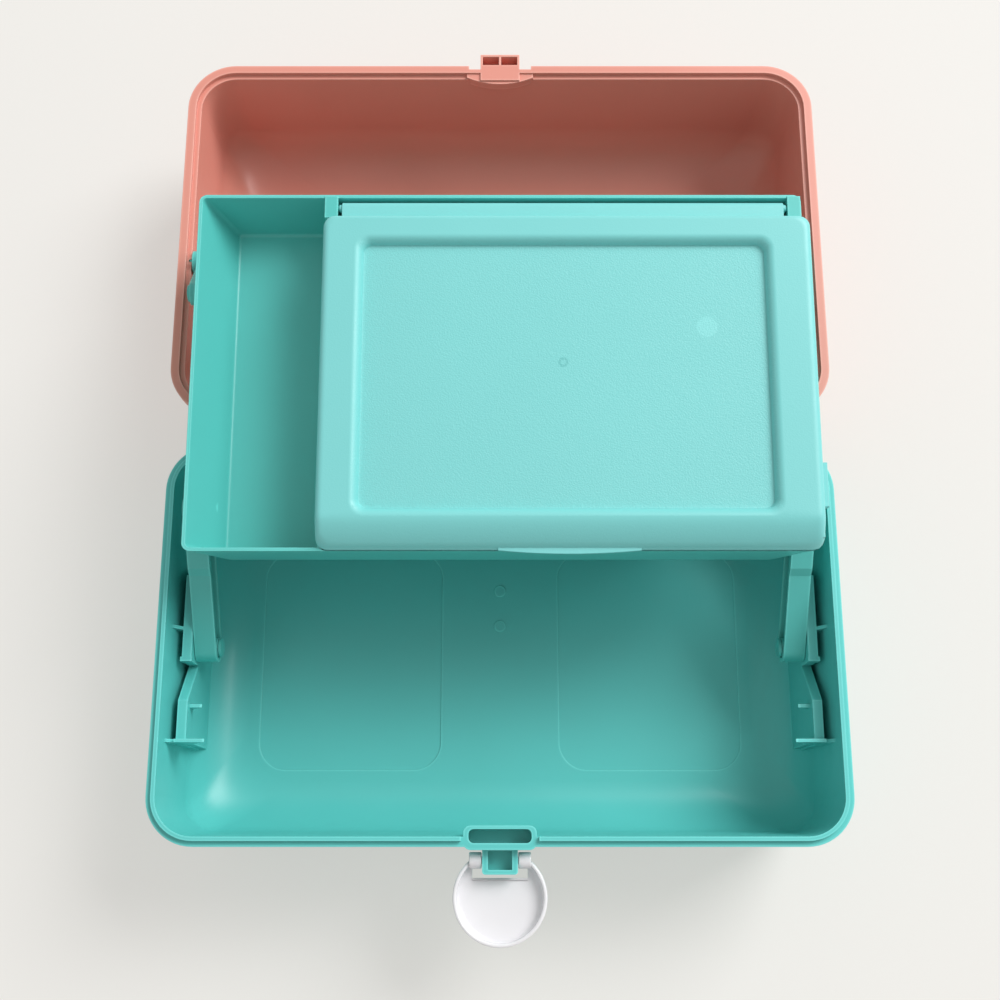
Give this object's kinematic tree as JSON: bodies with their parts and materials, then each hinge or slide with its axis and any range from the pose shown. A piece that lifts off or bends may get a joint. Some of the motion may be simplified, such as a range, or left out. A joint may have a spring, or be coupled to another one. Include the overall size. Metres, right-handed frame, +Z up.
{
  "type": "makeup storage case",
  "caption": "Two-colour hard plastic make-up case, shown open: hinged lid with folding handle, and a tray with a flip lid on swinging arms.",
  "frame": {"origin": "centre of the base's footprint on the surface the case stands on", "axes": "+X to the case's right, +Y to the hinge side at the back, +Z up; the case is open"},
  "size_m": [0.3336, 0.4599, 0.1218],
  "materials": {
    "teal_shell": "fine satin mould texture",
    "coral_shell": "fine satin mould texture",
    "teal_tray": "satin",
    "pale_aqua": "semi-gloss",
    "mirror": "polished",
    "clear_latch": "milky, semi-gloss",
    "coral_handle": "semi-gloss",
    "steel_pin": "drawn wire",
    "teal_arm": "satin",
    "teal_link": "satin",
    "teal_pin": "satin",
    "coral_pin": "satin"
  },
  "bodies": {
    "base": {"base_shell": "teal_shell", "arm_base_pin_left": "teal_pin", "arm_base_pin_right": "teal_pin"},
    "lid": {"lid_shell": "coral_shell", "handle_pin_left": "coral_pin", "handle_pin_right": "coral_pin"},
    "front_arm_left": {"front_arm_left": "teal_arm"},
    "front_arm_right": {"front_arm_right": "teal_arm"},
    "tray": {"tray": "teal_tray", "arm_tray_pin_left": "teal_pin", "arm_tray_pin_right": "teal_pin", "compartment_pin_left": "teal_pin", "compartment_pin_right": "teal_pin"},
    "lid_link_left": {"lid_link_left": "teal_link", "link_tray_pin_left": "teal_pin"},
    "lid_link_right": {"lid_link_right": "teal_link", "link_tray_pin_right": "teal_pin"},
    "compartment_lid": {"compartment_lid": "pale_aqua", "mirror_panel": "mirror"},
    "latch": {"latch": "clear_latch"},
    "handle": {"carry_handle": "coral_handle"},
    "lid_hinge_pin_left": {"lid_hinge_pin_left": "steel_pin"},
    "lid_hinge_pin_right": {"lid_hinge_pin_right": "steel_pin"}
  },
  "joints": [
    {"name": "lid_hinge", "type": "hinge", "parent": "base", "child": "lid", "pos_m": [0, 0.1062, 0.0741], "axis": [1, 0, 0], "range_deg": [0, 180]},
    {"name": "front_arm_left_pivot", "type": "hinge", "parent": "base", "child": "front_arm_left", "pos_m": [0, -0.00019, 0.046], "axis": [1, 0, 0], "range_deg": [0, 115.7]},
    {"name": "front_arm_right_pivot", "type": "hinge", "parent": "base", "child": "front_arm_right", "pos_m": [0, -0.00019, 0.046], "axis": [1, 0, 0], "range_deg": [0, 115.7]},
    {"name": "tray_pivot", "type": "hinge", "parent": "front_arm_left", "child": "tray", "pos_m": [0, 0.06115, 0.08559], "axis": [1, 0, 0], "range_deg": [-118.1, 0]},
    {"name": "lid_link_left_pivot", "type": "hinge", "parent": "lid", "child": "lid_link_left", "pos_m": [0, 0.198, 0.069], "axis": [1, 0, 0], "range_deg": [0, 47.2]},
    {"name": "lid_link_right_pivot", "type": "hinge", "parent": "lid", "child": "lid_link_right", "pos_m": [0, 0.198, 0.069], "axis": [1, 0, 0], "range_deg": [0, 47.2]},
    {"name": "compartment_lid_hinge", "type": "hinge", "parent": "tray", "child": "compartment_lid", "pos_m": [0, 0.20513, 0.11515], "axis": [1, 0, 0], "range_deg": [-105, 0]},
    {"name": "latch_hinge", "type": "hinge", "parent": "base", "child": "latch", "pos_m": [0, -0.103, 0.065], "axis": [-1, 0, 0], "range_deg": [-50, 90]},
    {"name": "handle_hinge", "type": "hinge", "parent": "lid", "child": "handle", "pos_m": [0, 0.2124, 0.0065], "axis": [1, 0, 0], "range_deg": [0, 90]},
    {"name": "lid_hinge_pin_left_spin", "type": "hinge", "parent": "base", "child": "lid_hinge_pin_left", "pos_m": [-0.095, 0.1062, 0.0741], "axis": [1, 0, 0], "continuous": true},
    {"name": "lid_hinge_pin_right_spin", "type": "hinge", "parent": "base", "child": "lid_hinge_pin_right", "pos_m": [0.095, 0.1062, 0.0741], "axis": [1, 0, 0], "continuous": true}
  ],
  "couplings": [
    {"joint": "front_arm_left_pivot", "follows": "lid_hinge", "ratio": 0.64226},
    {"joint": "front_arm_right_pivot", "follows": "lid_hinge", "ratio": 0.64226},
    {"joint": "tray_pivot", "follows": "lid_hinge", "ratio": -0.65559},
    {"joint": "lid_link_left_pivot", "follows": "lid_hinge", "ratio": 0.26164},
    {"joint": "lid_link_right_pivot", "follows": "lid_hinge", "ratio": 0.26164}
  ]
}
